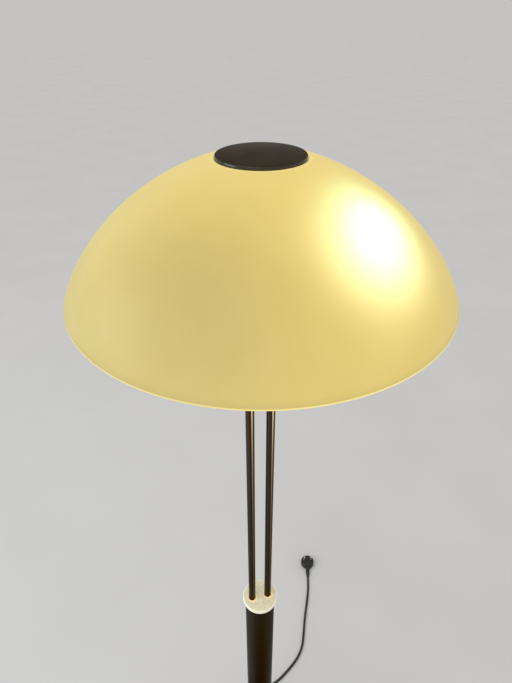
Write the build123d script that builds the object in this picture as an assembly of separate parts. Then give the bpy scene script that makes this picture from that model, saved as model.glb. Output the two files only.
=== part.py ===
from build123d import *
import math
import os

os.makedirs("parts", exist_ok=True)

# A floor lamp: a domed shade on two thin rods that slide in a tube on a round foot.
# Millimetres. The origin is the centre of the foot's underside, on the floor.
# +Z is up, +X runs along the pair of rods and along the bulb.

# Shade and cap
rim_height = 1248.0          # the shade's lower edge above the floor
shade_rise = 114.3           # from that edge to the crown
shade_radius = 175.0
shade_wall = 3.0
crown_radius = 39.6          # where the dome begins, just outside the cap
crown_slope = 16.9           # degrees below level, at the crown
crown_reach = 99.6           # how far the dome follows that slope
rim_slope = 83.8             # degrees below level, at the rim
rim_reach = 14.7             # how far the dome follows that slope
shade_hole_radius = 26.0
cap_recess = 1.5
cap_radius = 38.1
cap_edge = 4.0
cap_crown = 1.6              # how far the cap's middle stands above its edge
cap_rounding = 0.8
insert_radius = 6.5
insert_pocket = 1.5
insert_length = 9.5
insert_end = 1.0             # its closed end

# Rods, tube and collar
rod_spacing = 24.0
rod_radius = 5.0
rod_wall = 1.5
rod_insertion = 130.0        # length of rod below the collar's top face
tube_radius = 22.0
tube_wall = 1.6
collar_top = 712.0
collar_radius = 25.6
collar_flange = 7.0
collar_rounding = 1.6
collar_spigot = 42.0
collar_countersink = 0.9
join_overlap = 1.0           # how far two shapes of one piece run into each other
collar_screw_radius = 1.5
collar_screw_length = 7.0
collar_screw_drop = 22.0     # below the collar's top face
bush_height = 30.0
bush_floor = 4.0
bush_chamfer = 1.0

# Foot
foot_radius = 125.0
pad_height = 3.0
pad_radius = 9.0
pad_inset = 17.0             # the pads' centres from the foot's edge
pad_count = 4
pad_chamfer = 0.5
weight_gap = 2.8             # between the weight and the cover's inside
weight_height = 14.0
weight_chamfer = 1.5
groove_room = 2.0            # each side of the lead, under the weight
groove_headroom = 1.5        # above the lead
cover_wall = 1.2
cover_rounding = 5.0
cover_lift = 1.5             # the cover's edge above the floor
rosette_radius = 31.0
rosette_height = 6.0
rosette_rounding = 3.0
plug_height = 20.0           # the steel plug in the tube's lower end
stem_screw_radius = 2.5
stem_screw_head = 4.5
stem_screw_head_height = 3.0
stem_screw_circle = 13.0
stem_screw_grip = 12.0       # length of screw in the plug
stem_screw_sink = 5.0        # depth of the screw heads' pockets in the weight

# Head: bridge, carrier, stud
bridge_end = 8.5             # metal beyond the bracket's screw
bridge_width = 26.0
bridge_height = 14.0
bridge_cover = 2.0           # metal left above the rods' ends
bridge_rounding = 2.0
bridge_corner = 8.6          # in plan
carrier_radius = 33.0
carrier_height = 3.0
carrier_rounding = 1.0
carrier_gap = 0.4            # round the cap's insert
spacer_radius = 9.2
spacer_height = 12.0
spacer_gap = 0.8             # round the cap's insert
washer_height = 1.5
washer_inner = 20.0
washer_outer = 31.0
stud_radius = 3.0
stud_end = 3.0               # beyond the nut
stud_top_gap = 1.0           # below the cap
nut_flats = 10.0
nut_height = 5.0
nut_washer_radius = 6.2
nut_washer_height = 1.6
grub_radius = 2.5
grub_length = 10.0

# Lampholder and bulb
bulb_axis_height = 42.0      # above the rim
globe_offset = 105.0         # the globe's centre from the lamp's axis
globe_radius = 22.5
globe_wall = 1.0
bulb_cap_radius = 13.2
bulb_cap_length = 24.0
bulb_cap_taper = 4.0
bulb_neck_step = 0.4         # the glass neck is this much thinner than the cap
bulb_length = 75.0
contact_radius = 5.0
contact_height = 1.5
contact_stand = 3.5          # from the holder's floor to the bulb
bracket_gap = 3.8            # between the right rod and the bracket
bracket_thickness = 2.5
bracket_width = 26.0
bracket_foot = 22.0
bracket_screw_radius = 2.0
bracket_screw_head = 3.8
bracket_screw_head_height = 2.4
bracket_screw_length = 6.5
holder_screw_radius = 1.5
holder_screw_spread = 8.5
holder_screw_length = 9.0
holder_screw_head = 2.7
holder_screw_head_height = 1.8
holder_screw_room = 0.5      # beyond the screw's tip
holder_base_radius = 17.0
holder_base_length = 26.0
holder_shell_radius = 20.0
holder_shell_wall = 2.0
holder_shell_length = 34.0
holder_shell_overlap = 6.0   # how far the shell covers the base
holder_shell_rounding = 0.8
sleeve_wall = 0.5
sleeve_length = 24.0
switch_radius = 3.0
switch_length = 46.0
switch_stand = 8.0           # how far the switch bar stands out where it is pushed
switch_place = 12.0          # along the holder, from the bracket
switch_drop = 7.0            # below the bulb's axis
switch_chamfer = 0.6
block_length = 16.0
block_width = 12.0
block_height = 9.0

# Leads and mains cord
lead_radius = 2.0
lead_bend = 10.0
lead_turns = 7
lead_straight = 6.0
holder_lead_radius = 2.0
holder_lead_end = 8.0        # above the bulb's axis
holder_lead_run = 7.0        # straight run above the holder
head_lead_side = 7.0         # beyond the bridge's front
head_lead_reach = 9.0        # beyond the bridge's end
head_lead_drop = 24.0
head_lead_bends = [6.0, 9.0, 8.0, 7.0]
cord_radius = 3.0
gland_height = 7.0
relief_radius = 5.0
relief_tip = 3.7
relief_inside = 5.0
relief_outside = 22.0
relief_room = 3.0            # past the sleeve's inner end
exit_run = 11.0              # of cord, straight out of the sleeve and into the coil
coil_radius = 45.5           # the outermost turn's centre line
coil_turns = 6.5
coil_pitch = 6.5
coil_straight = 6.0
coil_reach = 191.0           # the coil's centre from the lamp's axis
coil_climb = 0.5             # turns in which the cord climbs to the upper layer
mains_plug_radius = 19.0
mains_plug_height = 17.0
mains_plug_rounding = 3.0
plug_relief_length = 27.0
plug_relief_tip = 4.2
plug_relief_root = 7.0
plug_relief_height = 7.5     # the root's centre above the floor
plug_relief_overlap = 4.0    # how far it runs into the plug
plug_cord_depth = 1.0
pin_radius = 2.4
pin_length = 19.0
pin_spacing = 19.0
pin_rounding = 1.2

# Clearances
seat_gap = 0.05              # between pieces that are pushed together
run_gap = 0.08               # between a rod, bar or thread and its guide
free_gap = 0.3               # between pieces that only pass each other

# Heights that follow from the sizes above
crown_height = rim_height + shade_rise
recess_floor = crown_height - cap_recess
shade_underside = recess_floor - shade_wall
carrier_top = shade_underside - washer_height
carrier_bottom = carrier_top - carrier_height
bridge_top = carrier_bottom - spacer_height
bridge_bottom = bridge_top - bridge_height
nut_top = bridge_bottom - nut_washer_height
rod_top = bridge_top - bridge_cover
rod_bottom = collar_top - rod_insertion
bush_bottom = rod_bottom - bush_floor
tube_bore = tube_radius - tube_wall
tube_top = collar_top - collar_flange
weight_radius = foot_radius - cover_wall - weight_gap
pad_circle = foot_radius - pad_inset
weight_top = pad_height + weight_height
cover_top = weight_top + cover_wall
plug_top = cover_top + plug_height
stem_screw_seat = pad_height + stem_screw_sink
rod_offset = rod_spacing / 2
rod_bore = rod_radius - rod_wall
bulb_height = rim_height + bulb_axis_height
bulb_start = globe_offset + globe_radius - bulb_length
bracket_back = rod_offset + rod_radius + bracket_gap
bracket_face = bracket_back + bracket_thickness
bracket_screw_place = bracket_back + bracket_foot / 2
bracket_screw_top = bridge_bottom - bracket_thickness + bracket_screw_length
bridge_length = 2 * (bracket_screw_place + bridge_end)
holder_base_end = bracket_face + holder_base_length
holder_shell_start = holder_base_end - holder_shell_overlap
lead_outlet = -rod_offset
block_place = -(spacer_radius + free_gap + block_length / 2)
plug_centre = plug_relief_length + mains_plug_radius - plug_relief_overlap


def save(node, shape):
    shape.label = node
    export_step(shape, f"parts/{node}.step")


def disc(radius, bottom, top):
    return Pos(0, 0, bottom) * extrude(Circle(radius), top - bottom)


def ring(inner, outer, bottom, top):
    return Pos(0, 0, bottom) * extrude(Circle(outer) - Circle(inner), top - bottom)


def rod_along_x(radius, start, end, y=0.0, z=0.0):
    return Pos(start, y, z) * Rot(0, 90, 0) * extrude(Circle(radius), end - start)


def biarc(start, start_way, end, end_way):
    """Two arcs that leave start along start_way and arrive at end along end_way."""
    reach = end - start
    ways = start_way + end_way
    spread = 2 * (1 - start_way.dot(end_way))
    along = reach.dot(ways)
    handle = (math.sqrt(along**2 + spread * reach.dot(reach)) - along) / spread
    middle = (start + end + (start_way - end_way) * handle) * 0.5
    first = TangentArc(start, middle, tangent=start_way)
    last = TangentArc(end, middle, tangent=end_way * -1)
    return [first, ThreePointArc(middle, last @ 0.5, end)]


def wound_tube(place, turns, radius, straight, start_way, end_way):
    """A tube along biarcs of a quarter turn, with straight ends along the two given ways."""
    step = 0.001
    count = round(turns * 4)
    stations = [turns * k / count for k in range(count + 1)]
    points = [place(u) for u in stations]
    ways = [(place(u + step) - place(u - step)).normalized() for u in stations]
    ways[0] = start_way
    ways[-1] = end_way
    start = points[0] - start_way * straight
    edges = [Line(start, points[0])]
    for k in range(count):
        edges += biarc(points[k], ways[k], points[k + 1], ways[k + 1])
    edges.append(Line(points[-1], points[-1] + end_way * straight))
    wire = Wire([edge.edge() for edge in edges])
    section = Plane(origin=start, z_dir=start_way) * Circle(radius)
    return sweep(section, path=wire), wire


def least_gap(wire, radius):
    """The least gap between stretches of a wound tube, leaving out its next few diameters."""
    count = int(wire.length / radius)
    points = [wire @ (k / count) for k in range(count + 1)]
    apart = 14
    return min(
        (points[i] - points[j]).length
        for i in range(0, count + 1)
        for j in range(i + apart, count + 1)
    ) - 2 * radius


def bent_tube(points, radius, bends):
    path = FilletPolyline(*points, radius=bends)
    way = (Vector(*points[1]) - Vector(*points[0])).normalized()
    section = Plane(origin=points[0], z_dir=way) * Circle(radius)
    return sweep(section, path=path), path


def easy_bends(points):
    """For each inner point, the largest arc that its two runs allow."""
    bends = []
    for before, here, after in zip(points, points[1:], points[2:]):
        run_in = Vector(*here) - Vector(*before)
        run_out = Vector(*after) - Vector(*here)
        turn = math.radians(run_in.get_angle(run_out))
        bends.append(0.45 * min(run_in.length, run_out.length) / math.tan(turn / 2))
    return bends


# Shade: a turned dome with a thick crown ring that holds the cap


def shade():
    lip_radius = cap_radius + free_gap
    crown_way = (math.cos(math.radians(crown_slope)), -math.sin(math.radians(crown_slope)))
    rim_way = (math.cos(math.radians(rim_slope)), -math.sin(math.radians(rim_slope)))

    def dome(crown, rim, crown_length, rim_length):
        return Bezier(
            crown,
            (crown[0] + crown_length * crown_way[0], crown[1] + crown_length * crown_way[1]),
            (rim[0] - rim_length * rim_way[0], rim[1] - rim_length * rim_way[1]),
            rim,
        )

    outer = dome((crown_radius, crown_height), (shade_radius, rim_height), crown_reach, rim_reach)
    inner_crown = (lip_radius, shade_underside)
    inner_rim = (shade_radius - shade_wall, rim_height)
    inner = dome(inner_crown, inner_rim, crown_reach - 2 * shade_wall, rim_reach - shade_wall / 2)
    edge = Line((shade_radius, rim_height), inner_rim)
    crown = Polyline(
        inner_crown,
        (shade_hole_radius, shade_underside),
        (shade_hole_radius, recess_floor),
        (lip_radius, recess_floor),
        (lip_radius, crown_height),
        (crown_radius, crown_height),
    )
    outline = make_face(Wire([e for piece in (outer, edge, inner, crown) for e in piece.edges()]))
    return revolve(Plane.XZ * outline, Axis.Z)


def cap():
    edge_top = recess_floor + cap_edge
    top = edge_top + cap_crown
    side = edge_top - cap_rounding
    shoulder = cap_radius - cap_rounding
    outline = make_face(
        Wire(
            Line((0, recess_floor), (cap_radius, recess_floor)).edges()
            + Line((cap_radius, recess_floor), (cap_radius, side)).edges()
            + TangentArc((cap_radius, side), (shoulder, edge_top), tangent=(0, 1)).edges()
            + TangentArc((0, top), (shoulder, edge_top), tangent=(1, 0)).edges()
            + Line((0, top), (0, recess_floor)).edges()
        )
    )
    pocket = disc(insert_radius + seat_gap, recess_floor, recess_floor + insert_pocket)
    return revolve(Plane.XZ * outline, Axis.Z) - pocket


def cap_insert():
    top = recess_floor + insert_pocket
    bottom = top - insert_length
    thread = ring(stud_radius + run_gap, insert_radius, bottom, top - insert_end)
    return thread + disc(insert_radius, top - insert_end, top)


# Head: what carries the shade and the lampholder on the rods' upper ends


def rods():
    for node, side in (("rod_left", -1), ("rod_right", 1)):
        save(node, Pos(side * rod_offset, 0, 0) * ring(rod_bore, rod_radius, rod_bottom, rod_top))


def bridge():
    block = Pos(0, 0, bridge_bottom) * extrude(
        RectangleRounded(bridge_length, bridge_width, bridge_corner), bridge_height
    )
    block = fillet(block.edges().group_by(Axis.Z)[-1], bridge_rounding)
    for side in (-1, 1):
        block -= Pos(side * rod_offset, 0, 0) * disc(rod_radius + seat_gap, bridge_bottom, rod_top)
    block -= disc(stud_radius + seat_gap, bridge_bottom, bridge_top)
    block -= Pos(-rod_offset, 0, 0) * disc(lead_radius + free_gap, rod_top, bridge_top)
    mid = (bridge_bottom + bridge_top) / 2
    block -= rod_along_x(grub_radius + seat_gap, rod_offset, bridge_length / 2, z=mid)
    block -= rod_along_x(grub_radius + seat_gap, -bridge_length / 2, -rod_offset, z=mid)
    return block - bracket_screw_shank(bracket_screw_radius + seat_gap, bracket_screw_top)


def grub_screws():
    mid = (bridge_bottom + bridge_top) / 2
    start = rod_offset + rod_radius + seat_gap
    screw = rod_along_x(grub_radius, start, start + grub_length, z=mid)
    return Compound(children=[screw, mirror(screw, about=Plane.YZ)])


def bracket_screw_shank(radius, top):
    return Pos(bracket_screw_place, 0, 0) * disc(radius, bridge_bottom - bracket_thickness, top)


def bracket_screw():
    head_top = bridge_bottom - bracket_thickness
    head = disc(bracket_screw_head, head_top - bracket_screw_head_height, head_top)
    shank = bracket_screw_shank(bracket_screw_radius, bracket_screw_top)
    return Pos(bracket_screw_place, 0, 0) * head + shank


def holder_screw_rod(radius, start, end, side):
    return rod_along_x(radius, start, end, y=side * holder_screw_spread, z=bulb_height)


def holder_bracket():
    corner = (Align.MIN, Align.CENTER, Align.MIN)
    bottom = bulb_height - holder_base_radius
    leg = Box(bracket_thickness, bracket_width, bridge_bottom - bottom, align=corner)
    foot = Box(bracket_foot, bracket_width, bracket_thickness, align=corner)
    plate = Pos(bracket_back, 0, bottom) * leg
    plate += Pos(bracket_back, 0, bridge_bottom - bracket_thickness) * foot
    plate = fillet(plate.edges().filter_by(Axis.X).group_by(Axis.Z)[0], bracket_width / 4)
    plate -= bracket_screw_shank(bracket_screw_radius + seat_gap, bridge_bottom)
    for side in (-1, 1):
        plate -= holder_screw_rod(holder_screw_radius + seat_gap, bracket_back, bracket_face, side)
    return plate


def holder_screws():
    screws = []
    for side in (-1, 1):
        head_start = bracket_back - holder_screw_head_height
        head = holder_screw_rod(holder_screw_head, head_start, bracket_back, side)
        tip = bracket_back + holder_screw_length
        screws.append(head + holder_screw_rod(holder_screw_radius, bracket_back, tip, side))
    return Compound(children=screws)


def switch_bar(radius, start, end):
    x = bracket_face + switch_place
    bar = Rot(-90, 0, 0) * extrude(Circle(radius), end - start)
    return Pos(x, start, bulb_height - switch_drop) * bar


def push_switch():
    start = -holder_base_radius - switch_stand
    bar = switch_bar(switch_radius, start, start + switch_length)
    return chamfer(bar.edges().filter_by(GeomType.CIRCLE), switch_chamfer)


def holder_base():
    body = rod_along_x(holder_base_radius, bracket_face, holder_base_end, z=bulb_height)
    body -= switch_bar(switch_radius + run_gap, -holder_base_radius, holder_base_radius)
    screw_room = bracket_back + holder_screw_length + holder_screw_room
    for side in (-1, 1):
        body -= holder_screw_rod(holder_screw_radius + seat_gap, bracket_face, screw_room, side)
    inlet = extrude(Circle(holder_lead_radius + seat_gap), holder_base_radius)
    return body - Pos(bracket_face + switch_place, 0, bulb_height + holder_lead_end) * inlet


def holder_shell():
    start = holder_shell_start
    end = start + holder_shell_length
    inner = holder_shell_radius - holder_shell_wall
    body = rod_along_x(holder_shell_radius, start, end, z=bulb_height)
    body = fillet(body.faces().sort_by(Axis.X)[-1].edges(), holder_shell_rounding)
    body -= rod_along_x(inner, holder_base_end, end, z=bulb_height)
    return body - rod_along_x(holder_base_radius + seat_gap, start, holder_base_end, z=bulb_height)


def centre_contact():
    end = holder_base_end + contact_stand - free_gap
    return rod_along_x(contact_radius, holder_base_end, end, z=bulb_height)


def thread_sleeve():
    inner = bulb_cap_radius + run_gap
    outer = inner + sleeve_wall
    start = holder_base_end
    sleeve = rod_along_x(outer, start, start + sleeve_length, z=bulb_height)
    return sleeve - rod_along_x(inner, start, start + sleeve_length, z=bulb_height)


def bulb_contact():
    return rod_along_x(contact_radius, bulb_start, bulb_start + contact_height, z=bulb_height)


def bulb_cap():
    start = bulb_start + contact_height
    end = start + bulb_cap_length
    body = rod_along_x(bulb_cap_radius, start, end, z=bulb_height)
    return chamfer(body.faces().sort_by(Axis.X)[0].edges(), bulb_cap_taper)


def bulb_globe():
    """A hollow glass globe on a short neck, turned about the bulb's own axis."""
    neck = bulb_start + contact_height + bulb_cap_length
    neck_radius = bulb_cap_radius - bulb_neck_step

    def filled(globe, throat, start):
        ball = Pos(globe_offset, 0, bulb_height) * Sphere(globe)
        return ball + rod_along_x(throat, start, globe_offset, z=bulb_height)

    outside = filled(globe_radius, neck_radius, neck)
    hollow = filled(globe_radius - globe_wall, neck_radius - globe_wall, neck + globe_wall)
    return outside - hollow


def carrier():
    plate = ring(insert_radius + carrier_gap, carrier_radius, carrier_bottom, carrier_top)
    lower_edges = plate.faces().sort_by(Axis.Z)[0].edges()
    return fillet(lower_edges.sort_by(SortBy.RADIUS)[-1], carrier_rounding)


def nut():
    hexagon = RegularPolygon(nut_flats / 2, 6, major_radius=False)
    body = Pos(0, 0, nut_top - nut_height) * extrude(hexagon, nut_height)
    return body - disc(stud_radius + seat_gap, nut_top - nut_height, nut_top)


def terminal_block():
    corner = (Align.CENTER, Align.CENTER, Align.MIN)
    return Pos(block_place, 0, bridge_top) * Box(block_length, block_width, block_height, align=corner)


def head_lead():
    """The lead from the terminal block round the stud's spacer and down into the lampholder."""
    block_side = bridge_top + block_height / 2
    holder_x = bracket_face + switch_place
    front = -bridge_width / 2 - head_lead_side
    end = bridge_length / 2 + head_lead_reach
    points = [
        (block_place, -block_width / 2, block_side),
        (block_place, front, block_side),
        (end, front, block_side),
        (end, 0.0, block_side - head_lead_drop),
        (holder_x, 0.0, bulb_height + holder_base_radius + holder_lead_run),
        (holder_x, 0.0, bulb_height + holder_lead_end),
    ]
    return bent_tube(points, holder_lead_radius, head_lead_bends)[0]


# Stem: bush, collar, tube and the plug in its lower end


def slide_bush():
    bush = disc(tube_bore - free_gap, bush_bottom, bush_bottom + bush_height)
    bush = chamfer(bush.edges().filter_by(GeomType.CIRCLE), bush_chamfer)
    for side in (-1, 1):
        bush -= Pos(side * rod_offset, 0, 0) * disc(
            rod_radius + seat_gap, rod_bottom, bush_bottom + bush_height
        )
    return bush - Pos(-rod_offset, 0, 0) * disc(lead_radius + free_gap, bush_bottom, rod_bottom)


def collar():
    bottom = tube_top - collar_spigot
    hole = rod_radius + run_gap
    flange = fillet(disc(collar_radius, tube_top, collar_top).edges(), collar_rounding)
    guide = flange + disc(tube_bore - seat_gap, bottom, tube_top + join_overlap)
    corner = (Align.CENTER, Align.CENTER, Align.MIN)
    sink = Cone(hole, hole + collar_countersink, collar_countersink, align=corner)
    for side in (-1, 1):
        guide -= Pos(side * rod_offset, 0, 0) * disc(hole, bottom, collar_top)
        guide -= Pos(side * rod_offset, 0, collar_top - collar_countersink) * sink
    return guide - collar_screw_shape(collar_screw_radius + seat_gap)


def collar_screw_shape(radius):
    z = collar_top - collar_screw_drop
    start = tube_radius - collar_screw_length
    return Pos(0, start, z) * Rot(-90, 0, 0) * extrude(Circle(radius), collar_screw_length)


def stem_tube():
    return ring(tube_bore, tube_radius, cover_top, tube_top) - collar_screw_shape(
        collar_screw_radius + seat_gap
    )


def screw_places():
    for angle in (0, 120, 240):
        turn = math.radians(angle)
        yield stem_screw_circle * math.cos(turn), stem_screw_circle * math.sin(turn)


def stem_plug():
    plug = disc(tube_bore - seat_gap, cover_top, plug_top)
    grip_top = cover_top + stem_screw_grip
    for x, y in screw_places():
        plug -= Pos(x, y, 0) * disc(stem_screw_radius + seat_gap, cover_top, grip_top)
    return plug - Pos(lead_outlet, 0, 0) * disc(lead_radius + free_gap, cover_top, plug_top)


def stem_screws():
    seat = stem_screw_seat
    head = disc(stem_screw_head, seat - stem_screw_head_height, seat)
    shank = disc(stem_screw_radius, seat, cover_top + stem_screw_grip)
    return Compound(children=[Pos(x, y, 0) * (head + shank) for x, y in screw_places()])


def rosette():
    foot = ring(tube_radius + seat_gap, rosette_radius, cover_top, cover_top + rosette_height)
    upper_edges = foot.faces().sort_by(Axis.Z)[-1].edges()
    return fillet(upper_edges.sort_by(SortBy.RADIUS)[-1], rosette_rounding)


# Foot


def foot_pads():
    pad = disc(pad_radius, 0, pad_height)
    pad = chamfer(pad.edges().group_by(Axis.Z)[0], pad_chamfer)
    pads = []
    for k in range(pad_count):
        turn = 2 * math.pi * (k + 0.5) / pad_count
        pads.append(Pos(pad_circle * math.cos(turn), pad_circle * math.sin(turn), 0) * pad)
    return Compound(children=pads)


def foot_weight():
    weight = disc(weight_radius, pad_height, weight_top)
    weight = chamfer(weight.edges().filter_by(GeomType.CIRCLE), weight_chamfer)
    for x, y in screw_places():
        weight -= Pos(x, y, 0) * disc(stem_screw_head + free_gap, pad_height, stem_screw_seat)
        weight -= Pos(x, y, 0) * disc(stem_screw_radius + free_gap, pad_height, weight_top)
    groove_width = 2 * (lead_radius + groove_room)
    groove_height = gland_height + lead_radius + groove_headroom - pad_height
    corner = (Align.MAX, Align.CENTER, Align.MIN)
    groove = Box(weight_radius, groove_width, groove_height, align=corner)
    gland_end = -foot_radius + relief_inside + relief_room
    gland = rod_along_x(relief_radius + free_gap, -weight_radius, gland_end, z=gland_height)
    outlet = extrude(SlotCenterToCenter(lead_bend, groove_width), weight_height)
    weight -= Pos(lead_outlet, 0, pad_height) * groove
    weight -= Pos(lead_outlet - lead_bend / 2, 0, pad_height) * outlet
    return weight - gland


def foot_cover():
    inner = foot_radius - cover_wall
    skin = disc(foot_radius, cover_lift, cover_top)
    skin = fillet(skin.faces().sort_by(Axis.Z)[-1].edges(), cover_rounding)
    room = disc(inner, cover_lift, weight_top)
    skin -= fillet(room.faces().sort_by(Axis.Z)[-1].edges(), cover_rounding - cover_wall)
    for x, y in screw_places():
        skin -= Pos(x, y, 0) * disc(stem_screw_radius + free_gap, weight_top, cover_top)
    skin -= Pos(lead_outlet, 0, 0) * disc(lead_radius + free_gap, weight_top, cover_top)
    return skin - rod_along_x(relief_radius + seat_gap, -foot_radius, -weight_radius, z=gland_height)


def strain_relief():
    """A rubber sleeve through the cover's side that tapers down to the cord."""
    sleeve = rod_along_x(
        relief_radius, -foot_radius, -foot_radius + relief_inside, z=gland_height
    )
    taper = Rot(0, 90, 0) * Cone(relief_tip, relief_radius, relief_outside)
    return sleeve + Pos(-foot_radius - relief_outside / 2, 0, gland_height) * taper


def lead_lower():
    points = [
        (-foot_radius + relief_inside, 0.0, gland_height),
        (lead_outlet, 0.0, gland_height),
        (lead_outlet, 0.0, plug_top + lead_straight),
    ]
    return bent_tube(points, lead_radius, [lead_bend])[0]


def lead_spiral():
    """The spare lead in the tube, wound so that it closes up as the rods go down."""
    bottom = plug_top + 2 * lead_straight
    top = bush_bottom - lead_straight

    def place(u):
        turn = math.pi + 2 * math.pi * u
        rise = bottom + (top - bottom) * u / lead_turns
        return Vector(rod_offset * math.cos(turn), rod_offset * math.sin(turn), rise)

    up = Vector(0, 0, 1)
    return wound_tube(place, lead_turns, lead_radius, lead_straight, up, up)


# Mains cord: out of the foot, into a coil, then over the floor to the plug


coil_exit = (-coil_reach + coil_straight, 2 * coil_radius, cord_radius + coil_pitch)

cord_points = [
    coil_exit,
    (-171.0, 91.0, 9.5),
    (-145.0, 92.5, 4.6),
    (-111.0, 100.0, 3.0),
    (-75.0, 117.0, 3.0),
    (-36.0, 131.0, 3.0),
    (4.0, 137.0, 3.0),
    (43.0, 140.0, 3.0),
    (81.0, 148.0, 3.0),
    (116.0, 168.0, 3.0),
    (147.0, 189.0, 3.0),
    (169.0, 214.0, 3.0),
    (182.0, 244.0, 3.0),
    (194.0, 275.0, 3.0),
    (208.0, 307.0, 3.0),
    (223.0, 339.0, 3.0),
    (237.0, 372.5, 3.0),
    (246.0, 406.0, 3.0),
]


def cord_exit_points():
    start = -(foot_radius + relief_outside)
    end = -coil_reach + coil_straight
    return [
        (start, 0.0, gland_height),
        (start - exit_run, 0.0, gland_height),
        (end + exit_run, 0.0, cord_radius),
        (end, 0.0, cord_radius),
    ]


def cord_coil():
    """Two layers of turns: the lower spirals in, climbs at the middle, and the upper spirals out."""
    half = coil_turns / 2

    def place(u):
        turn = -math.pi / 2 - 2 * math.pi * u
        radius = coil_radius - coil_pitch * (half - abs(u - half))
        share = min(max((u - half) / coil_climb + 0.5, 0.0), 1.0)
        rise = cord_radius + coil_pitch * share * share * (3 - 2 * share)
        return Vector(
            -coil_reach + radius * math.cos(turn), coil_radius + radius * math.sin(turn), rise
        )

    way_in = Vector(-1, 0, 0)
    way_out = Vector(1, 0, 0)
    return wound_tube(place, coil_turns, cord_radius, coil_straight, way_in, way_out)


def plug_plane():
    """The plug's own plane: its origin where the cord enters it, +X along the cord's last run."""
    end = Vector(*cord_points[-1])
    way = (end - Vector(*cord_points[-2])).normalized()
    return Plane(origin=(end.X, end.Y, 0), x_dir=(way.X, way.Y, 0), z_dir=(0, 0, 1))


def mains_plug():
    """A flat round plug that lies on its back, with the cord at its side and its pins up."""

    def across(x, z, radius):
        return Plane(origin=(x, 0, z), x_dir=(0, 1, 0), z_dir=(1, 0, 0)) * Circle(radius)

    puck = extrude(Circle(mains_plug_radius), mains_plug_height)
    puck = Pos(plug_centre, 0, 0) * fillet(puck.edges(), mains_plug_rounding)
    tip = across(0, cord_radius, plug_relief_tip)
    root = across(plug_relief_length, plug_relief_height, plug_relief_root)
    corner = (Align.MIN, Align.CENTER, Align.MAX)
    below = Box(plug_centre, 2 * mains_plug_radius, mains_plug_height, align=corner)
    body = puck + loft([tip, root]) - below
    body -= rod_along_x(cord_radius + seat_gap, 0, plug_cord_depth, z=cord_radius)
    return plug_plane() * body


def mains_plug_pins():
    pin = extrude(Circle(pin_radius), pin_length)
    pin = fillet(pin.faces().sort_by(Axis.Z)[-1].edges(), pin_rounding)
    pins = []
    for side in (-1, 1):
        seat = Pos(plug_centre, side * pin_spacing / 2, mains_plug_height)
        pins.append(plug_plane() * seat * pin)
    return Compound(children=pins)


def build():
    save("shade", shade())
    save("cap", cap())
    save("cap_insert", cap_insert())

    rods()
    save("bridge", bridge())
    save("grub_screws", grub_screws())
    save("shade_carrier", carrier())
    save("shade_washer", ring(washer_inner, washer_outer, carrier_top, shade_underside))
    save("carrier_spacer", ring(insert_radius + spacer_gap, spacer_radius, bridge_top, carrier_bottom))
    save("head_stud", disc(stud_radius, nut_top - nut_height - stud_end, recess_floor - stud_top_gap))
    save("stud_washer", ring(stud_radius + seat_gap, nut_washer_radius, nut_top, bridge_bottom))
    save("stud_nut", nut())
    save("holder_bracket", holder_bracket())
    save("bracket_screw", bracket_screw())
    save("holder_screws", holder_screws())
    save("holder_base", holder_base())
    save("holder_shell", holder_shell())
    save("thread_sleeve", thread_sleeve())
    save("centre_contact", centre_contact())
    save("push_switch", push_switch())
    save("terminal_block", terminal_block())
    save("head_lead", head_lead())
    save("bulb_contact", bulb_contact())
    save("bulb_cap", bulb_cap())
    save("bulb_globe", bulb_globe())

    save("slide_bush", slide_bush())
    save("lead_upper", Pos(-rod_offset, 0, 0) * disc(lead_radius, bush_bottom, bridge_top))
    save("collar", collar())
    save("collar_screw", collar_screw_shape(collar_screw_radius))
    save("stem_tube", stem_tube())
    save("stem_plug", stem_plug())
    save("stem_screws", stem_screws())
    save("stem_rosette", rosette())

    save("foot_pads", foot_pads())
    save("foot_weight", foot_weight())
    save("foot_cover", foot_cover())
    save("strain_relief", strain_relief())
    save("lead_lower", lead_lower())
    spiral, spiral_wire = lead_spiral()
    save("lead_spiral", spiral)
    print("spiral lead: least gap to itself", round(least_gap(spiral_wire, lead_radius), 2))

    exit_points = cord_exit_points()
    exit_bends = easy_bends(exit_points)
    exit_tube, exit_path = bent_tube(exit_points, cord_radius, exit_bends)
    save("cord_exit", exit_tube)
    coil, coil_wire = cord_coil()
    save("cord_coil", coil)
    free_bends = easy_bends(cord_points)
    free_tube, free_path = bent_tube(cord_points, cord_radius, free_bends)
    save("cord_free", free_tube)
    save("mains_plug", mains_plug())
    save("mains_plug_pins", mains_plug_pins())

    section = math.pi * cord_radius**2
    stretches = {"exit": (exit_tube, exit_path), "coil": (coil, coil_wire), "free": (free_tube, free_path)}
    for name, (tube, path) in stretches.items():
        print("cord", name, "length", round(path.length, 1))
        print("its volume over section times length", round(tube.volume / section / path.length, 4))
    print("exit bends", [round(b) for b in exit_bends])
    print("free bends", [round(b) for b in free_bends])
    print("coil: least gap to itself", round(least_gap(coil_wire, cord_radius), 2))
    print("cord length", round(exit_path.length + coil_wire.length + free_path.length, 1))


build()
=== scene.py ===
import math

import bmesh
import bpy
from mathutils import Matrix, Vector
from mathutils.geometry import interpolate_bezier


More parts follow.
